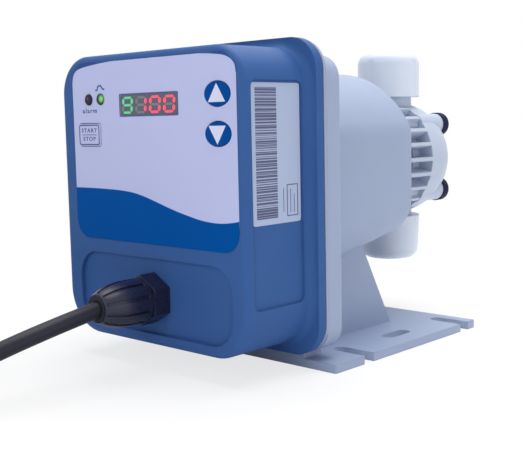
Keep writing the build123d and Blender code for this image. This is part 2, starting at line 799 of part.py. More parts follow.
def pump_head():
    y0 = y_head
    y1 = y_head_rear
    knee = y_rim + head_land
    turn = math.asin((y1 - knee) / head_dome_r)

    def dome(a):
        return (head_r - head_dome_r * (1 - math.cos(a)), knee + head_dome_r * math.sin(a))

    rim = Polyline((0, y0), (spigot_r, y0), (spigot_r, y_rim), (head_r, y_rim), (head_r, knee))
    arc = ThreePointArc(dome(0), dome(turn / 2), dome(turn))
    face = make_face(rim + arc + Polyline(dome(turn), (0, y1), (0, y0)))
    spin = Plane(origin=(0, 0, axis_z), x_dir=(1, 0, 0), z_dir=(0, 0, 1))
    body = revolve(spin * face, Axis((0, 0, axis_z), (0, 1, 0)))
    body = fillet(edges_on_y(body, y1), head_edge_r)
    for x, z in bolt_points:
        body += rod_y(boss_r, y_rim, y_boss_rear, x, z)
        body -= rod_y(cap_r + clear, y_boss_rear, y1, x, z)
    body += rod_z(neck_r, axis_z - neck_reach + suction_lift, axis_z + neck_reach)
    body -= rod_y(rib_r + clear, y0 - neck_r, y0)
    body -= rod_y(diaphragm_r + fit_gap, y0, y0 + diaphragm_t)
    body -= rod_y(chamber_r, y0, y0 + diaphragm_t + chamber_depth)
    body -= rod_z(port_r, axis_z - neck_reach, axis_z + neck_reach)
    for side in (-1, 1):
        body -= rod_y(link_r, y0, y_valve, 0, axis_z + side * link_z)
    for z in (suction_base, discharge_base):
        body -= rod_z(cartridge_r + fit_gap, z, z + stack_len)
    for x, z in bolt_points:
        body -= rod_y(bolt_r + fit_gap, y_rim, y_boss_rear, x, z)
    return body


def head_bolts():
    solids = []
    for x, z in bolt_points:
        head = rod_y(bolt_head_r, y_boss_rear, y_boss_rear + bolt_head_t, x, z)
        head -= prism(Pos(x, z) * RegularPolygon(1.5, 6), y_boss_rear + 1.6, y_boss_rear + bolt_head_t)
        solids.append(head + rod_y(bolt_r, y_wall + clear, y_boss_rear, x, z))
    return Compound(solids)


def bolt_caps():
    caps = []
    for x, z in bolt_points:
        cap = rod_y(cap_r, y_boss_rear, y_boss_rear + cap_len, x, z)
        cap = fillet(edges_on_y(cap, y_boss_rear + cap_len), 1.2)
        caps.append(cap - rod_y(bolt_head_r + 0.1, y_boss_rear, y_boss_rear + bolt_head_t + 0.1, x, z))
    return Compound(caps)


# ---- valves: each stacks o-ring, seat and cage from its lower end upwards ----
stack_len = oring_t + seat_t + cage_len
suction_base = axis_z - neck_reach + suction_lift
discharge_base = axis_z + neck_reach - stack_len


def seat_top(base):
    return base + oring_t + seat_t


def ball_centre(base):
    return seat_top(base) - seat_cone - throat_r + (ball_r + ball_gap) * math.sqrt(2)


def valve_orings():
    rings = [ring_z(cartridge_r, cartridge_r - oring_wall, z, z + oring_t) for z in (suction_base, discharge_base)]
    return Compound(rings)


def valve_seat(base):
    top = seat_top(base)
    seat = ring_z(cartridge_r, throat_r, base + oring_t, top)
    return seat - Pos(0, y_valve, top - seat_cone / 2) * Cone(throat_r, throat_r + seat_cone, seat_cone)


def valve_cage(base):
    low = seat_top(base)
    stop = ball_centre(base) + ball_r + ball_lift + clear
    cage = rod_z(cartridge_r, low, low + cage_len) - rod_z(cage_bore_r, low, stop)
    for i in range(4):
        a = math.radians(90 * i)
        x = cage_hole_at * math.cos(a)
        y = y_valve + cage_hole_at * math.sin(a)
        cage -= rod_z(cage_hole_r, stop, low + cage_len, x, y)
    return cage


def valve_ball(base):
    return Pos(0, y_valve, ball_centre(base)) * Sphere(ball_r)


def discharge_nozzle():
    z0 = axis_z + neck_reach
    z1 = z0 + nozzle_flange_t
    body = rod_z(nozzle_flange_r, z0, z1) + rod_z(nozzle_tail_r, z1, z1 + nozzle_tail)
    body = chamfer(body.edges().group_by(Axis.Z)[-1], 0.6)
    return body - rod_z(nozzle_bore_r, z0, z1 + nozzle_tail)


def union_nut(taper):
    """Nut with a rounded closed end, bored for the neck and for the nozzle's flange."""
    z1 = axis_z + nut_end_z
    z0 = z1 - nut_len
    end_r = nut_r - taper
    shoulder = (end_r - nut_edge_r * (1 - math.sqrt(0.5)), z1 - nut_edge_r * (1 - math.sqrt(0.5)))
    side = Polyline((0, z0), (nut_r, z0), (end_r, z1 - nut_edge_r))
    corner = ThreePointArc((end_r, z1 - nut_edge_r), shoulder, (end_r - nut_edge_r, z1))
    face = make_face(side + corner + Polyline((end_r - nut_edge_r, z1), (0, z1), (0, z0)))
    nut = revolve(Plane(origin=(0, y_valve, 0), x_dir=(1, 0, 0), z_dir=(0, -1, 0)) * face, Axis((0, y_valve, 0), (0, 0, 1)))
    for i in range(nut_flutes):
        a = math.radians(360 / nut_flutes * i)
        away = nut_r + nut_flute_r - nut_flute_depth
        nut -= rod_z(nut_flute_r, z0, z1, away * math.cos(a), y_valve + away * math.sin(a))
    nut -= rod_z(neck_r + fit_gap, z0, axis_z + neck_reach + nozzle_flange_t + fit_gap)
    return nut - rod_z(nut_hole_r, z0, z1)


def flip(shape):
    """The same piece on the suction side, pointing down."""
    return mirror(shape, about=Plane(origin=(0, 0, axis_z + suction_lift / 2), z_dir=(0, 0, 1)))


nodes = {
    "front_cover": front_cover(),
    "keypad_film": keypad_film(),
    "display_window": display_window(),
    "display_module": display_module(),
    "alarm_lamp": lamp(alarm_x),
    "pulse_lamp": lamp(pulse_x),
    "up_key": key_cap(*key_places()[0]),
    "down_key": key_cap(*key_places()[1]),
    "start_stop_key": key_cap(*key_places()[2]),
    "tactile_switches": tactile_switches(),
    "circuit_board": circuit_board(),
    "board_components": board_components(),
    "cover_gasket": gasket(),
    "rear_casing": rear_casing(),
    "cover_screws": cover_screws(),
    "gland_body": gland_body(),
    "gland_locknut": gland_locknut(),
    "gland_nut": gland_nut(),
    "gland_seal": gland_seal(),
    "power_cord": power_cord(),
    "cord_coil": cord_coil(),
    "plug_body": plug_body(),
    "plug_pins": plug_pins(),
    "solenoid_can": solenoid_can(),
    "fixed_pole": fixed_pole(),
    "pole_bushing": pole_bushing(),
    "coil_bobbin": coil_bobbin(),
    "coil_winding": coil_winding(),
    "stop_plate": stop_plate(),
    "stop_bumper": stop_bumper(),
    "armature": armature(),
    "push_rod": push_rod(),
    "return_spring": return_spring(),
    "head_flange": head_flange(),
    "rod_bushing": rod_bushing(),
    "diaphragm": diaphragm(),
    "diaphragm_core": diaphragm_core(),
    "pump_head": pump_head(),
    "head_bolts": head_bolts(),
    "bolt_caps": bolt_caps(),
    "valve_orings": valve_orings(),
    "suction_seat": valve_seat(suction_base),
    "suction_cage": valve_cage(suction_base),
    "suction_ball": valve_ball(suction_base),
    "suction_nozzle": flip(discharge_nozzle()),
    "suction_nut": flip(union_nut(nut_taper)),
    "discharge_seat": valve_seat(discharge_base),
    "discharge_cage": valve_cage(discharge_base),
    "discharge_ball": valve_ball(discharge_base),
    "discharge_nozzle": discharge_nozzle(),
    "discharge_nut": union_nut(0.0),
}

os.makedirs("parts", exist_ok=True)
for name, shape in nodes.items():
    export_step(shape, f"parts/{name}.step")
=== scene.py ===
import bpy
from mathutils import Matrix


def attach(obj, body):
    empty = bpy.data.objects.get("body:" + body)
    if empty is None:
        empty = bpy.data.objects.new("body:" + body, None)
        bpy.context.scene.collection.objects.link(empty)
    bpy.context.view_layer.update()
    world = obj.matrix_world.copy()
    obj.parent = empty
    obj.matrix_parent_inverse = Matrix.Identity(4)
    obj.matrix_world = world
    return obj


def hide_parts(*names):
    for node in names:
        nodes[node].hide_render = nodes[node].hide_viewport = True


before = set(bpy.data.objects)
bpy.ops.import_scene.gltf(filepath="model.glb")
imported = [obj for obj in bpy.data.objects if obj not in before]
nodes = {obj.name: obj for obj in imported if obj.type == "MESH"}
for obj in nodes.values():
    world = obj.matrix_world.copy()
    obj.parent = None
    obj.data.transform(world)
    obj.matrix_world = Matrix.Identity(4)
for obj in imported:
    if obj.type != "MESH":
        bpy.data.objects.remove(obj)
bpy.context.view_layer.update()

import math

import bpy
from mathutils import Matrix, Vector

MM = 0.001
BODY = "pump_body"

# ---- sizes taken over from the model, in mm ----
FACE_Y = -101.4            # keypad face
FILM = (-46.5, 51.8, 52.0, 126.0)          # left, right, lower and upper edge
FILM_R = 8.0
WINDOW = (-14.6, 20.1, 103.7, 112.1)       # the same four
KEY_TOP_Y = FACE_Y - 0.5
SIDE_X = 54.0              # floor of the recess in the cover's side
GLAND_TIP = (1.3, -129.1, 30.0)
COIL = (-74.0, -196.4)
COIL_R = 39.6
CORD_R = 3.3
PLUG_ENTRY = (-128.1, -197.4, 19.0)

# ---- patterns ----
BAND = math.pi / 10        # distance between two bands of the wave texture at scale 1
RING_MM = 0.377            # pitch of the turning marks on metal


# ================= camera =================
def camera_at(place, azimuth, elevation, roll, focal_mm):
    a, e, r = (math.radians(v) for v in (azimuth, elevation, roll))
    forward = Vector((-math.sin(a) * math.cos(e), math.cos(a) * math.cos(e), -math.sin(e)))
    right = Vector((math.cos(a), math.sin(a), 0))
    up = right.cross(forward)
    right_r = right * math.cos(r) + up * math.sin(r)
    up_r = up * math.cos(r) - right * math.sin(r)
    data = bpy.data.cameras.new("camera")
    data.sensor_width = 36.0
    data.lens = focal_mm
    data.clip_start = 0.01
    data.clip_end = 20.0
    eye = bpy.data.objects.new("camera", data)
    bpy.context.scene.collection.objects.link(eye)
    turn = Matrix((right_r, up_r, -forward)).transposed()
    eye.matrix_world = Matrix.Translation(Vector(place) * MM) @ turn.to_4x4()
    bpy.context.scene.camera = eye


camera_at(place=(289.51, -344.50, 101.38), azimuth=42.97, elevation=6.446, roll=-1.178, focal_mm=64.4)


# ================= materials =================
def linear(hex_colour):
    """An sRGB hex value as the linear RGBA that the shaders take."""
    values = [int(hex_colour[i:i + 2], 16) / 255 for i in (1, 3, 5)]
    return tuple(v / 12.92 if v <= 0.04045 else ((v + 0.055) / 1.055) ** 2.4 for v in values) + (1.0,)


def add(tree, kind, inputs=None, **settings):
    """One node with its settings; an input is a value, or the socket that feeds it."""
    node = tree.nodes.new(kind)
    for key, value in settings.items():
        setattr(node, key, value)
    for key, value in (inputs or {}).items():
        socket = node.inputs[key]
        if isinstance(value, bpy.types.NodeSocket):
            tree.links.new(value, socket)
        else:
            socket.default_value = value
    return node


def new_material(name):
    material = bpy.data.materials.new(name)
    material.use_nodes = True
    material.node_tree.nodes.clear()
    return material, material.node_tree


def finish_surface(tree, shader):
    add(tree, "ShaderNodeOutputMaterial", {"Surface": shader.outputs[0]})


def millimetres(tree):
    """The piece's own coordinates in mm, so that every pattern has a real size and moves with the piece."""
    place = add(tree, "ShaderNodeTexCoord")
    scaled = add(tree, "ShaderNodeVectorMath", {
        0: place.outputs["Object"], 1: (1 / MM,) * 3}, operation="MULTIPLY")
    return scaled.outputs[0]


def moulded(name, colour, deep, roughness, grit_mm, grit,
            edge_mm=0.6, specular=0.5, cloud_mm=38.0, cloud=0.35):
    """Injection-moulded plastic: faint flow clouds, a spark-eroded grit, and edges with the tool's radius."""
    material, tree = new_material(name)
    mm = millimetres(tree)
    clouds = add(tree, "ShaderNodeTexNoise", {
        "Vector": mm, "Scale": 1 / cloud_mm, "Detail": 3.0, "Roughness": 0.55})
    tone = add(tree, "ShaderNodeMapRange", {
        "Value": clouds.outputs[0], "From Min": 0.35, "From Max": 0.68, "To Min": 0.0, "To Max": cloud})
    body = add(tree, "ShaderNodeMix", {
        0: tone.outputs[0], 6: linear(colour), 7: linear(deep)}, data_type="RGBA")
    pits = add(tree, "ShaderNodeTexNoise", {
        "Vector": mm, "Scale": 1 / grit_mm, "Detail": 2.0, "Roughness": 0.6})
    gloss = add(tree, "ShaderNodeMapRange", {
        "Value": pits.outputs[0], "From Min": 0.3, "From Max": 0.7,
        "To Min": roughness - 0.05, "To Max": roughness + 0.07})
    rounded = add(tree, "ShaderNodeBevel", {"Radius": edge_mm * MM}, samples=4)
    bump = add(tree, "ShaderNodeBump", {
        "Height": pits.outputs[0], "Strength": grit, "Distance": 0.2 * MM, "Normal": rounded.outputs[0]})
    shader = add(tree, "ShaderNodeBsdfPrincipled", {
        "Base Color": body.outputs[2], "Roughness": gloss.outputs[0], "Normal": bump.outputs[0],
        "IOR": 1.5, "Specular IOR Level": specular})
    finish_surface(tree, shader)
    return material


def printed(name, colour, roughness=0.34, strength=0.0, specular=0.18):
    """Screen ink under polyester film: one even colour with the film's fine orange-peel."""
    material, tree = new_material(name)
    mm = millimetres(tree)
    peel = add(tree, "ShaderNodeTexNoise", {"Vector": mm, "Scale": 1 / 1.6, "Detail": 1.0})
    bump = add(tree, "ShaderNodeBump", {"Height": peel.outputs[0], "Strength": 0.06, "Distance": 0.2 * MM})
    shader = add(tree, "ShaderNodeBsdfPrincipled", {
        "Base Color": linear(colour), "Roughness": roughness, "IOR": 1.5, "Specular IOR Level": specular,
        "Normal": bump.outputs[0], "Emission Color": linear(colour), "Emission Strength": strength})
    finish_surface(tree, shader)
    return material


def metal(name, colour, roughness):
    """Turned or drawn metal: fine rings round the part's axis catch the light."""
    material, tree = new_material(name)
    mm = millimetres(tree)
    lines = add(tree, "ShaderNodeTexWave", {
        "Vector": mm, "Scale": BAND / RING_MM, "Distortion": 0.6, "Detail": 2.0},
        wave_type="BANDS", bands_direction="Y")
    stain = add(tree, "ShaderNodeTexNoise", {"Vector": mm, "Scale": 1 / 6.0, "Detail": 3.0})
    gloss = add(tree, "ShaderNodeMapRange", {
        "Value": stain.outputs[0], "From Min": 0.3, "From Max": 0.7,
        "To Min": roughness - 0.06, "To Max": roughness + 0.1})
    bump = add(tree, "ShaderNodeBump", {"Height": lines.outputs[0], "Strength": 0.12, "Distance": 0.1 * MM})
    shader = add(tree, "ShaderNodeBsdfPrincipled", {
        "Base Color": linear(colour), "Metallic": 1.0, "Roughness": gloss.outputs[0],
        "Normal": bump.outputs[0]})
    finish_surface(tree, shader)
    return material


def wound_wire(name, colour, wire_mm):
    """Enamelled magnet wire laid side by side: rounded ridges one wire apart under a warm varnish."""
    material, tree = new_material(name)
    mm = millimetres(tree)
    turns = add(tree, "ShaderNodeTexWave", {
        "Vector": mm, "Scale": BAND / wire_mm, "Distortion": 0.3, "Detail": 1.0},
        wave_type="BANDS", bands_direction="Y")
    bump = add(tree, "ShaderNodeBump", {"Height": turns.outputs[0], "Strength": 0.8, "Distance": 0.3 * MM})
    shader = add(tree, "ShaderNodeBsdfPrincipled", {
        "Base Color": linear(colour), "Metallic": 0.85, "Roughness": 0.32, "Normal": bump.outputs[0],
        "Coat Weight": 0.6, "Coat Roughness": 0.15})
    finish_surface(tree, shader)
    return material


def smoked_pane(name, colour):
    """Smoked acrylic over the display: dark, with a clean polish."""
    material, tree = new_material(name)
    mm = millimetres(tree)
    tint = add(tree, "ShaderNodeTexNoise", {"Vector": mm, "Scale": 1 / 9.0})
    gloss = add(tree, "ShaderNodeMapRange", {"Value": tint.outputs[0], "To Min": 0.12, "To Max": 0.2})
    shader = add(tree, "ShaderNodeBsdfPrincipled", {
        "Base Color": linear(colour), "Roughness": gloss.outputs[0], "IOR": 1.49})
    finish_surface(tree, shader)
    return material


def lamp_lens(name, core, rim, centre, core_mm, rim_mm, lit):
    """Diffused LED lens: a soft, lighter core round the centre and a dark clear rim; where lit, the core
    glows.
    """
    material, tree = new_material(name)
    place = add(tree, "ShaderNodeTexCoord")
    away = add(tree, "ShaderNodeVectorMath", {
        0: place.outputs["Object"], 1: tuple(v * MM for v in centre)}, operation="DISTANCE")
    spread = add(tree, "ShaderNodeMapRange", {
        "Value": away.outputs["Value"], "From Min": core_mm * MM, "From Max": rim_mm * MM,
        "To Min": 0.0, "To Max": 1.0}, interpolation_type="SMOOTHSTEP")
    colour = add(tree, "ShaderNodeMix", {
        0: spread.outputs[0], 6: linear(core), 7: linear(rim)}, data_type="RGBA")
    glow = add(tree, "ShaderNodeMath", {0: spread.outputs[0], 1: -lit, 2: lit}, operation="MULTIPLY_ADD")
    flecks = add(tree, "ShaderNodeTexNoise", {"Vector": millimetres(tree), "Scale": 1 / 0.8})
    gloss = add(tree, "ShaderNodeMapRange", {"Value": flecks.outputs[0], "To Min": 0.1, "To Max": 0.2})
    shader = add(tree, "ShaderNodeBsdfPrincipled", {
        "Base Color": colour.outputs[2], "Roughness": gloss.outputs[0],
        "IOR": 1.54, "Specular IOR Level": 0.22,
        "Emission Color": colour.outputs[2], "Emission Strength": glow.outputs[0]})
    finish_surface(tree, shader)
    return material


def solder_mask(name):
    """Glass-epoxy board under green mask: a brick pattern, 1.25 by 0.63 mm, stands for its copper tracks."""
    material, tree = new_material(name)
    mm = millimetres(tree)
    tracks = add(tree, "ShaderNodeTexBrick", {
        "Vector": mm, "Scale": 1 / 2.5, "Mortar Size": 0.06,
        "Color1": linear("#1C5A34"), "Color2": linear("#1F6339"), "Mortar": linear("#3E8A55")})
    shader = add(tree, "ShaderNodeBsdfPrincipled", {
        "Base Color": tracks.outputs[0], "Roughness": 0.3, "IOR": 1.5})
    finish_surface(tree, shader)
    return material


# Blue ABS cover: satin, lightly gritted, deeper blue in the flow clouds.
cover_abs = moulded("cover_blue_abs", "#3B609B", "#345692", 0.42, 0.9, 0.08, edge_mm=0.8, specular=0.08)
# Blue-grey glass-filled polypropylene casing: drier surface, coarser grit than the cover.
casing_pp = moulded(
    "casing_grey_polypropylene", "#9FACC7", "#97A4BF", 0.5, 1.1, 0.16, edge_mm=0.9, specular=0.35)
# Natural PVDF liquid end: milky white, waxy gloss.
liquid_end_pvdf = moulded(
    "liquid_end_white_pvdf", "#DEE6F4", "#D5DEED", 0.38, 1.2, 0.06, edge_mm=0.7, cloud=0.5,
    specular=0.35)
# The head and its ribbed spacer: the valve nuts' white, painted a shade greyer as painted shade on the head's
# dome.
head_painted_shade = moulded(
    "head_white_painted_shade", "#BFC9DC", "#B4BFD4", 0.40, 1.3, 0.08, edge_mm=0.6, cloud=0.5,
    specular=0.3)
# Black nylon gland: dark blue-black with a soft sheen along edges.
gland_nylon = moulded(
    "gland_black_nylon", "#21243D", "#181A30", 0.30, 0.9, 0.05, edge_mm=0.5, specular=0.42)
# Push-on caps of the head bolts: the same nylon, moulded matt.
cap_nylon = moulded("cap_dark_nylon", "#1B2140", "#161A34", 0.55, 0.7, 0.10, edge_mm=0.5, specular=0.08)
# Soft PVC of the lead: satin black with a slight waxy streak.
lead_pvc = moulded(
    "lead_black_pvc", "#1A1A2A", "#14141F", 0.42, 0.8, 0.08, edge_mm=0.2, cloud_mm=14.0, specular=0.3)
# EPDM seals: dull black.
seal_epdm = moulded("seal_black_epdm", "#141416", "#1B1B1D", 0.75, 0.5, 0.2, edge_mm=0.2)
# Black ABS inner parts.
inner_abs = moulded("inner_black_abs", "#1B1B20", "#222228", 0.5, 0.6, 0.1, edge_mm=0.3)
# PTFE facing of the diaphragm: white, greasy-smooth.
diaphragm_ptfe = moulded("diaphragm_white_ptfe", "#EFEFEA", "#E6E6E0", 0.3, 1.5, 0.03, edge_mm=0.3)
# White PBT bobbin.
bobbin_pbt = moulded("bobbin_white_pbt", "#E8E8E4", "#DEDED8", 0.45, 0.8, 0.1, edge_mm=0.3)
# Polyester keypad film, lilac back print.
film_lilac = printed("film_lilac_polyester", "#C1C7EE")
# Inks on the film: deep blue, the cover's own blue, off-white, and grey-blue lines.
ink_blue = printed("ink_blue", "#0050A0", 0.32, specular=0.02)
ink_cover = printed("ink_cover_blue", "#325392", 0.4, specular=0.06)
ink_white = printed("ink_white", "#DDE0F6", 0.34)
ink_grey_blue = printed("ink_grey_blue", "#4E5C96", 0.34)
key_blue = printed("key_blue_polyester", "#004A98", 0.3, specular=0.04)
# Display: smoked pane, grey segments where they are off, and a faint glow where they are lit.
pane_smoked = smoked_pane("window_smoked_acrylic", "#555A68")
digit_dark = printed("digit_unlit", "#80818E", 0.3)
digit_red = printed("digit_red_lit", "#EC506C", 0.3, 0.55)
digit_green = printed("digit_green_lit", "#5CC08A", 0.3, 0.4)
# Lamps: the red one is off and looks dull violet, lighter violet in its middle; the green one is lit.
lens_red = lamp_lens("lens_red_unlit", "#6A4470", "#1A0A24", (-35.5, FACE_Y - 0.6, 111.2), 0.1, 1.0, 0.0)
lens_green = lamp_lens("lens_green_lit", "#7CC474", "#0C3A1E", (-26.3, FACE_Y - 0.6, 110.9), 0.5, 2.2, 0.25)
# Label: bluish white vinyl with dark bars.
label_paper = printed("label_white_vinyl", "#AFBCD8", 0.4)
label_ink = printed("label_bar_ink", "#5E6280", 0.5)
# Metals: dull zinc plate, brighter turned stainless, brown sintered bronze, and polished nickel plate.
steel_zinc = metal("steel_zinc_plated", "#A6A8AC", 0.34)
steel_stainless = metal("steel_stainless_turned", "#C6C8CA", 0.24)
bronze_sintered = metal("bronze_sintered", "#A87B45", 0.42)
brass_nickel = metal("brass_nickel_plated", "#CFCEC8", 0.16)
# Enamelled copper: red-brown, varnished.
copper_wire = wound_wire("wire_enamelled_copper", "#B4643A", 0.503)
# Alumina balls: ivory, even and glossy.
ball_ceramic = moulded("ball_alumina", "#F3F1E8", "#EDEBE0", 0.12, 2.0, 0.0, edge_mm=0.05)
# Circuit board: glossy dark green.
board_mask = solder_mask("board_solder_mask")

finishes = {
    cover_abs: "front_cover",
    film_lilac: "keypad_film start_stop_key",
    pane_smoked: "display_window",
    inner_abs: "display_module tactile_switches board_components",
    lens_red: "alarm_lamp",
    lens_green: "pulse_lamp",
    key_blue: "up_key down_key",
    board_mask: "circuit_board",
    seal_epdm: "cover_gasket gland_seal stop_bumper valve_orings",
    casing_pp: "rear_casing",
    steel_stainless: "cover_screws push_rod return_spring diaphragm_core head_bolts",
    gland_nylon: "gland_body gland_locknut gland_nut",
    lead_pvc: "plug_body power_cord cord_coil",
    brass_nickel: "plug_pins",
    steel_zinc: "solenoid_can fixed_pole stop_plate armature",
    bronze_sintered: "pole_bushing rod_bushing",
    bobbin_pbt: "coil_bobbin",
    copper_wire: "coil_winding",
    # the greyer white on head and spacer is painted shade on the head's dome
    head_painted_shade: "head_flange pump_head",
    diaphragm_ptfe: "diaphragm",
    cap_nylon: "bolt_caps",
    liquid_end_pvdf: (
        "suction_seat suction_cage suction_nozzle suction_nut discharge_seat discharge_cage "
        "discharge_nozzle discharge_nut"),
    ball_ceramic: "suction_ball discharge_ball",
}
for finish, names in finishes.items():
    for name in names.split():
        piece = nodes[name]
        if not piece.material_slots:
            piece.data.materials.append(finish)
        for place in piece.material_slots:
            place.material = finish


# ================= the mains lead =================
def coil_turns():
    """Winds the unseen length clockwise: outer to inner along the floor, then inner to outer on top of it."""
    seats = [(2, 0), (1, 0), (0, 0), (0, 1), (1, 1), (2, 1)]      # column, layer
    start = -52.4                                                # degrees, where the lead joins the coil
    travel = 127.6 + 360 * 5                                     # degrees of winding
    lay = travel / len(seats)
    cross = 36.0                                                 # degrees over which a turn changes seat
    swing = 42.0                                                 # degrees over which it rises to the plug
    step = 14.0                                                  # degrees between points
    count = int(travel // step)
    points = []
    for i in range(1, count + 1):
        s = travel * i / count
        seat = min(int(s // lay), len(seats) - 1)
        into = s - seat * lay
        column, layer = seats[seat]
        if into > lay - cross and seat < len(seats) - 1:
            t = (into - (lay - cross)) / cross
            column += (seats[seat + 1][0] - column) * t
            layer += (seats[seat + 1][1] - layer) * t
        r = (COIL_R + (column - 1) * 2 * CORD_R) / math.cos(math.radians(travel / count / 2))
        z = CORD_R * (1 + 2 * layer)
        left = travel - s
        if left < swing:
            t = 1 - left / swing
            r += (COIL[0] - PLUG_ENTRY[0] - r) * t * t
            z += (PLUG_ENTRY[2] - z) * t * t * 0.8
        a = math.radians(start - s)
        points.append((COIL[0] + r * math.cos(a), COIL[1] + r * math.sin(a), z))
    return points


def mains_lead():
    route = [
        (GLAND_TIP[0], GLAND_TIP[1] + 2, GLAND_TIP[2]),
        (1.3, -155.5, 25.5),
        (-8.0, -185.4, 15.0),
        (-22.0, -213.4, 7.5),
        (-45.5, -233.4, 4.4),
    ]
    route += coil_turns()
    route += [(PLUG_ENTRY[0], PLUG_ENTRY[1] + depth, PLUG_ENTRY[2]) for depth in (6, 16)]
    data = bpy.data.curves.new("mains_lead", "CURVE")
    data.dimensions = "3D"
    line = data.splines.new("NURBS")
    line.points.add(len(route) - 1)
    for point, place in zip(line.points, route):
        point.co = (*(v * MM for v in place), 1.0)
    line.order_u = 3
    line.use_endpoint_u = True
    line.resolution_u = 8
    data.bevel_depth = CORD_R * MM
    data.bevel_resolution = 5
    data.use_fill_caps = True
    lead = bpy.data.objects.new("mains_lead", data)
    bpy.context.scene.collection.objects.link(lead)
    data.materials.append(lead_pvc)
    return lead, route


lead, route = mains_lead()
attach(lead, BODY)
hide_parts("power_cord", "cord_coil")


# ================= flat pieces =================
def mesh_piece(name, vertices, faces, finish, body):
    data = bpy.data.meshes.new(name)
    data.from_pydata([tuple(c * MM for c in v) for v in vertices], [], faces)
    data.validate()
    data.materials.append(finish)
    piece = bpy.data.objects.new(name, data)
    bpy.context.scene.collection.objects.link(piece)
    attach(piece, body)
    return piece


def rounded_outline(x0, x1, z0, z1, r, steps=8):
    points = []
    centres = ((x1 - r, z1 - r), (x0 + r, z1 - r), (x0 + r, z0 + r), (x1 - r, z0 + r))
    for (cx, cz), start in zip(centres, (0, 90, 180, 270)):
        for i in range(steps + 1):
            a = math.radians(start + 90 * i / steps)
            points.append((cx + r * math.cos(a), cz + r * math.sin(a)))
    return points


def rectangle(u0, u1, v0, v1):
    return [(u0, v0), (u1, v0), (u1, v1), (u0, v1)]


def on_front(y):
    return lambda u, v: (u, y, v)


def on_side(x):
    return lambda u, v: (x, u, v)


def patches(name, outlines, low, high, finish, body):
    """Thin plates from closed outlines, raised from low to high; both map an outline's point to a place."""
    vertices, faces = [], []
    for outline in outlines:
        n, base = len(outline), len(vertices)
        vertices += [low(*p) for p in outline] + [high(*p) for p in outline]
        faces.append([base + n + i for i in range(n)])
        faces.append([base + i for i in reversed(range(n))])
        faces += [[base + i, base + (i + 1) % n, base + n + (i + 1) % n, base + n + i] for i in range(n)]
    return mesh_piece(name, vertices, faces, finish, body)


def frames(name, pairs, low, high, finish, body):
    """Thin closed lines: each pair is an outer and an inner outline with the same number of points."""
    vertices, faces = [], []
    for outer, inner in pairs:
        n, base = len(outer), len(vertices)
        for place in (high, low):
            vertices += [place(*p) for p in outer] + [place(*p) for p in inner]
        for i in range(n):
            j = (i + 1) % n
            faces.append([base + i, base + j, base + n + j, base + n + i])
            faces.append([base + 2 * n + i, base + 3 * n + i, base + 3 * n + j, base + 2 * n + j])
            faces.append([base + i, base + 2 * n + i, base + 2 * n + j, base + j])
            faces.append([base + n + i, base + n + j, base + 3 * n + j, base + 3 * n + i])
    return mesh_piece(name, vertices, faces, finish, body)


def ribbon(points, width):
    """Outline of a line of the given width along open points."""
    left, right = [], []
    for i, p in enumerate(points):
        a = points[max(i - 1, 0)]
        b = points[min(i + 1, len(points) - 1)]
        length = math.hypot(b[0] - a[0], b[1] - a[1])
        nx, nz = -(b[1] - a[1]) / length * width / 2, (b[0] - a[0]) / length * width / 2
        left.append((p[0] + nx, p[1] + nz))
        right.append((p[0] - nx, p[1] - nz))
    return left + right[::-1]


def smooth_through(points, steps=8):
    """Catmull-Rom line through the points."""
    result = []
    ends = [points[0]] + points + [points[-1]]
    for a, b, c, d in zip(ends, ends[1:], ends[2:], ends[3:]):
        for i in range(steps):
            t = i / steps
            result.append(tuple(0.5 * (
                2 * b[k] + (c[k] - a[k]) * t + (2 * a[k] - 5 * b[k] + 4 * c[k] - d[k]) * t * t
                + (3 * b[k] - a[k] - 3 * c[k] + d[k]) * t ** 3) for k in (0, 1)))
    return result + [points[-1]]


face, print_top = on_front(FACE_Y + 0.02), on_front(FACE_Y - 0.06)
film_back = on_front(FACE_Y + 0.46)      # the blue print also hides the cut edge of the film

# ---- keypad print ----
WAVE = [(-46.4, 73.4), (-37.1, 73.5), (-25.8, 73.4), (-17.4, 73.2), (-9.0, 72.6), (-2.2, 71.4), (4.9, 69.6),
        (14.4, 67.0), (23.6, 64.9), (32.5, 63.3), (41.1, 62.8), (48.0, 63.4), (51.7, 64.1)]
x0, x1, z0 = FILM[0] + 0.02, FILM[1] - 0.02, FILM[2] + 0.02
band = smooth_through(WAVE)
for cx, start in ((x1 - FILM_R, 0), (x0 + FILM_R, -90)):
    for i in range(11):
        a = math.radians(start - 90 * i / 10)
        band.append((cx + FILM_R * math.cos(a), z0 + FILM_R + FILM_R * math.sin(a)))
patches("keypad_blue_band", [band], film_back, print_top, ink_blue, BODY)
around = rounded_outline(WINDOW[0] - 0.5, WINDOW[1] + 0.5, WINDOW[2] - 0.45, WINDOW[3] + 0.45, 0.6)
frames("display_frame_print", [(around, rounded_outline(*WINDOW, 0.9))],
       face, print_top, ink_grey_blue, BODY)

# the lilac field's top edge is a shallow arch, so blue print fills the film's two upper corners
CORNER_L = [(-46.4, 118.0), (-45.9, 120.4), (-44.5, 122.4), (-42.2, 123.6), (-37.1, 124.5), (-28.5, 125.35),
            (-20.1, 125.85)]
CORNER_R = [(51.7, 118.0), (51.2, 120.9), (49.0, 123.2), (45.2, 124.7), (38.7, 125.5), (33.0, 125.85)]
corners = []
for line, cx, side in ((CORNER_L, FILM[0] + FILM_R + 0.02, -1), (CORNER_R, FILM[1] - FILM_R - 0.02, 1)):
    rim = []
    for i in range(25):
        a = math.radians(90 - 90 * i / 24)
        rim.append((cx + side * FILM_R * math.cos(a), FILM[3] - FILM_R - 0.02 + FILM_R * math.sin(a)))
    outline = smooth_through(line, 5) + rim
    corners.append(outline if side < 0 else outline[::-1])
patches("keypad_corner_print", corners, film_back, print_top, ink_cover, BODY)

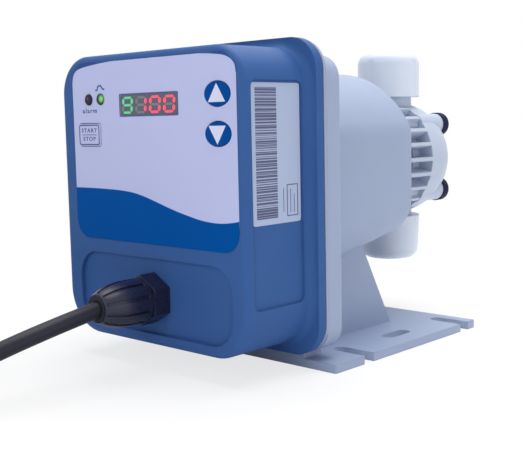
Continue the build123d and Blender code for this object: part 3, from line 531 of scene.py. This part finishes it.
pulse = [(-30.6, 114.5), (-29.5, 114.5), (-28.9, 115.9), (-28.3, 116.25), (-26.9, 116.3), (-25.9, 115.0),
         (-24.6, 114.7)]
patches("pulse_symbol", [ribbon(pulse, 0.75)], face, print_top, ink_grey_blue, BODY)

key_low, key_print = on_front(KEY_TOP_Y + 0.02), on_front(KEY_TOP_Y - 0.05)
ARROW_X, ARROW_HALF_W = 42.0, 4.5
for key, z, point_up in (("up_key", 110.8, 1), ("down_key", 96.1, -1)):
    foot_z, tip_z = z - point_up * 3.0, z + point_up * 3.9
    arrow = [(ARROW_X - ARROW_HALF_W, foot_z), (ARROW_X + ARROW_HALF_W, foot_z), (ARROW_X, tip_z)]
    if point_up < 0:
        arrow.reverse()
    patches(key + "_arrow", [arrow], key_low, on_front(KEY_TOP_Y - 0.06), ink_white,
            key + "_body")

START_X, START_Z = -35.3, 96.0       # centre of the start/stop key


def around_start(half_w, half_h):
    """Left, right, lower and upper edge of a box round the key's centre."""
    return START_X - half_w, START_X + half_w, START_Z - half_h, START_Z + half_h


start_frame = (rounded_outline(*around_start(6.95, 4.3), 1.2), rounded_outline(*around_start(6.4, 3.8), 0.8))
frames("start_stop_outline", [start_frame], key_low, key_print, ink_grey_blue,
       "start_stop_key_body")
patches("start_stop_rule", [rectangle(*around_start(5.0, 0.15))], key_low, key_print, ink_grey_blue,
        "start_stop_key_body")


def legend(name, words, x, y, z, height, body, finish):
    """A function word on the keypad, set in the plain built-in face."""
    data = bpy.data.curves.new(name, "FONT")
    data.body = words
    data.size = height * MM * 1.4
    data.align_x = "CENTER"
    data.align_y = "CENTER"
    data.extrude = 0.03 * MM
    data.space_character = 1.25
    data.offset = 0.05 * MM
    data.materials.append(finish)
    piece = bpy.data.objects.new(name, data)
    bpy.context.scene.collection.objects.link(piece)
    piece.rotation_euler = (math.radians(90), 0, 0)
    piece.scale = (1.3, 1.0, 1.0)
    piece.location = (x * MM, y * MM, z * MM)
    bpy.context.view_layer.update()
    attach(piece, body)
    return piece


for name, words, rise in (("legend_start", "START", 1.75), ("legend_stop", "STOP", -1.75)):
    legend(name, words, START_X, KEY_TOP_Y - 0.02, START_Z + rise, 1.7, "start_stop_key_body", ink_grey_blue)
legend("legend_alarm", "alarm", -34.9, FACE_Y - 0.03, 106.0, 2.0, BODY, ink_grey_blue)

# ---- seven-segment digits behind the window ----
DIGIT_W, DIGIT_H, STROKE = 5.4, 5.9, 1.2
SEGMENTS = {"a": ((0, 1), (1, 1)), "b": ((1, 1), (1, 0.5)), "c": ((1, 0.5), (1, 0)), "d": ((0, 0), (1, 0)),
            "e": ((0, 0.5), (0, 0)), "f": ((0, 1), (0, 0.5)), "g": ((0, 0.5), (1, 0.5))}
LIT = {"0": "abcdef", "1": "bc", "9": "abcdfg"}


def segment(x, z, ends):
    """Six-sided bar with pointed ends, leaning a little like the real digit."""
    def lean(u, v):
        return (x + u + 0.09 * v, z + v)
    (ax, az), (bx, bz) = [(p[0] * DIGIT_W, p[1] * DIGIT_H) for p in ends]
    length = math.hypot(bx - ax, bz - az)
    dx, dz = (bx - ax) / length, (bz - az) / length
    half, gap = STROKE / 2, 0.25
    w = half * (1.25 if dx == 0 else 0.8)
    tip, shoulder = length - gap, length - gap - half
    spots = [(gap, 0), (gap + half, w), (shoulder, w), (tip, 0), (shoulder, -w), (gap + half, -w)]
    return [lean(ax + dx * s - dz * t, az + dz * s + dx * t) for s, t in spots]


def clockwise(outline):
    return sum((b[0] - a[0]) * (b[1] + a[1]) for a, b in zip(outline, outline[1:] + outline[:1])) >= 0


DIGIT_PITCH = 8.45
groups = {"digits_dark": [], "digits_red": [], "digits_green": []}
SHOWN = (("9", "digits_green"), ("1", "digits_red"), ("0", "digits_red"), ("0", "digits_red"))
for i, (value, group) in enumerate(SHOWN):
    x = WINDOW[0] + 1.5 + i * DIGIT_PITCH
    z = WINDOW[2] + 1.2
    for letter, ends in SEGMENTS.items():
        groups[group if letter in LIT[value] else "digits_dark"].append(segment(x, z, ends))
pane_y = FACE_Y + 0.2
digit_inks = {"digits_dark": digit_dark, "digits_red": digit_red, "digits_green": digit_green}
for name, outlines in groups.items():
    facing_out = [o[::-1] if clockwise(o) else o for o in outlines]
    patches(name, facing_out, on_front(pane_y + 0.02), on_front(pane_y - 0.05), digit_inks[name],
            BODY)

# ---- sticker in the side recess ----
LABEL = (-96.4, -69.6, 61.8, 114.6)        # front, rear, lower and upper edge
side_low, side_mid, side_top = on_side(SIDE_X - 0.02), on_side(SIDE_X + 0.14), on_side(SIDE_X + 0.2)
patches("side_label", [rounded_outline(*LABEL, 1.2)], side_low, side_mid, label_paper, BODY)
BAR_Y = (LABEL[0] + 2.0, LABEL[0] + 13.6)
bars, z, step = [], LABEL[3] - 1.8, 7
while z > LABEL[2] + 2.6:
    step = (step * 29 + 11) % 97                               # an uneven but fixed run of bar and gap widths
    bar, gap = 0.22 + 0.16 * (step % 5), 0.16 + 0.11 * (step % 4)
    bars.append(rectangle(*BAR_Y, z - bar, z))
    z -= bar + gap
patches("side_label_bars", bars, side_mid, side_top, label_ink, BODY)
label_box = (rounded_outline(-77.6, -71.2, 64.2, 76.4, 0.3), rounded_outline(-77.2, -71.6, 64.55, 76.05, 0.2))
frames("side_label_box", [label_box],
       side_mid, side_top, label_ink, BODY)
rules = [rectangle(-79.6, -79.3, 66.0, 75.0), rectangle(-75.6, -75.3, 65.6, 74.8),
         rectangle(-73.6, -73.3, 65.6, 72.6)]
patches("side_label_rules", rules, side_mid, side_top, label_ink, BODY)


# ================= floor, background and light =================
FLOOR_HALF = 6.0                     # m
FADE_FROM, FADE_TO = 0.12, 0.42      # m from the origin: the shadow starts to fade, and is gone
WHITE_NEAR = 0.74                    # share of plain white over the paper up to FADE_FROM


def studio():
    data = bpy.data.meshes.new("floor")
    corners = [(x * FLOOR_HALF, y * FLOOR_HALF, 0) for x, y in ((-1, -1), (1, -1), (1, 1), (-1, 1))]
    data.from_pydata(corners, [], [[0, 1, 2, 3]])
    floor = bpy.data.objects.new("floor", data)
    bpy.context.scene.collection.objects.link(floor)
    material, tree = new_material("floor_white_paper")
    path = add(tree, "ShaderNodeLightPath")
    place = add(tree, "ShaderNodeTexCoord")
    reach = add(tree, "ShaderNodeVectorMath", {0: place.outputs["Object"]}, operation="LENGTH")
    far = add(tree, "ShaderNodeMapRange", {
        "Value": reach.outputs["Value"], "From Min": FADE_FROM, "From Max": FADE_TO,
        "To Min": WHITE_NEAR, "To Max": 1.0}, interpolation_type="SMOOTHSTEP")
    paper = add(tree, "ShaderNodeBsdfDiffuse", {"Color": linear("#FAFAFA")})
    lift = add(tree, "ShaderNodeEmission", {"Color": (1, 1, 1, 1), "Strength": path.outputs["Is Camera Ray"]})
    both = add(tree, "ShaderNodeMixShader", {0: far.outputs[0], 1: paper.outputs[0], 2: lift.outputs[0]})
    plain = add(tree, "ShaderNodeMixShader", {
        0: path.outputs["Is Camera Ray"], 1: paper.outputs[0], 2: both.outputs[0]})
    finish_surface(tree, plain)
    data.materials.append(material)

    world = bpy.data.worlds.new("studio")
    bpy.context.scene.world = world
    world.use_nodes = True
    tree = world.node_tree
    tree.nodes.clear()
    path = add(tree, "ShaderNodeLightPath")
    seen = add(tree, "ShaderNodeMath", {
        0: path.outputs["Is Camera Ray"], 1: path.outputs["Is Glossy Ray"]}, operation="MAXIMUM")
    seen = add(tree, "ShaderNodeMath", {
        0: seen.outputs[0], 1: path.outputs["Is Transmission Ray"]}, operation="MAXIMUM")
    room = add(tree, "ShaderNodeBackground", {"Color": (0.94, 0.96, 1.0, 1), "Strength": 0.35})
    white = add(tree, "ShaderNodeBackground", {"Color": (1, 1, 1, 1), "Strength": 1.0})
    mix = add(tree, "ShaderNodeMixShader", {0: seen.outputs[0], 1: room.outputs[0], 2: white.outputs[0]})
    add(tree, "ShaderNodeOutputWorld", {"Surface": mix.outputs[0]})

    for name, place, target, size, power in (
        ("top_softbox", (0.02, 0.3, 1.3), (0, 0, 0.08), 1.4, 20.5),
        ("right_softbox", (1.2, 0.1, 0.1), (0, 0, 0.05), 0.9, 1.8),
        ("front_softbox", (0.3, -1.3, 0.6), (0, -0.03, 0.08), 0.9, 4.8),
    ):
        light = bpy.data.lights.new(name, "AREA")
        light.shape = "SQUARE"
        light.size = size
        light.energy = power
        lamp = bpy.data.objects.new(name, light)
        bpy.context.scene.collection.objects.link(lamp)
        lamp.location = place
        lamp.rotation_euler = (Vector(place) - Vector(target)).to_track_quat("Z", "Y").to_euler()


studio()
bpy.context.scene.view_settings.view_transform = "Standard"

bpy.context.view_layer.update()
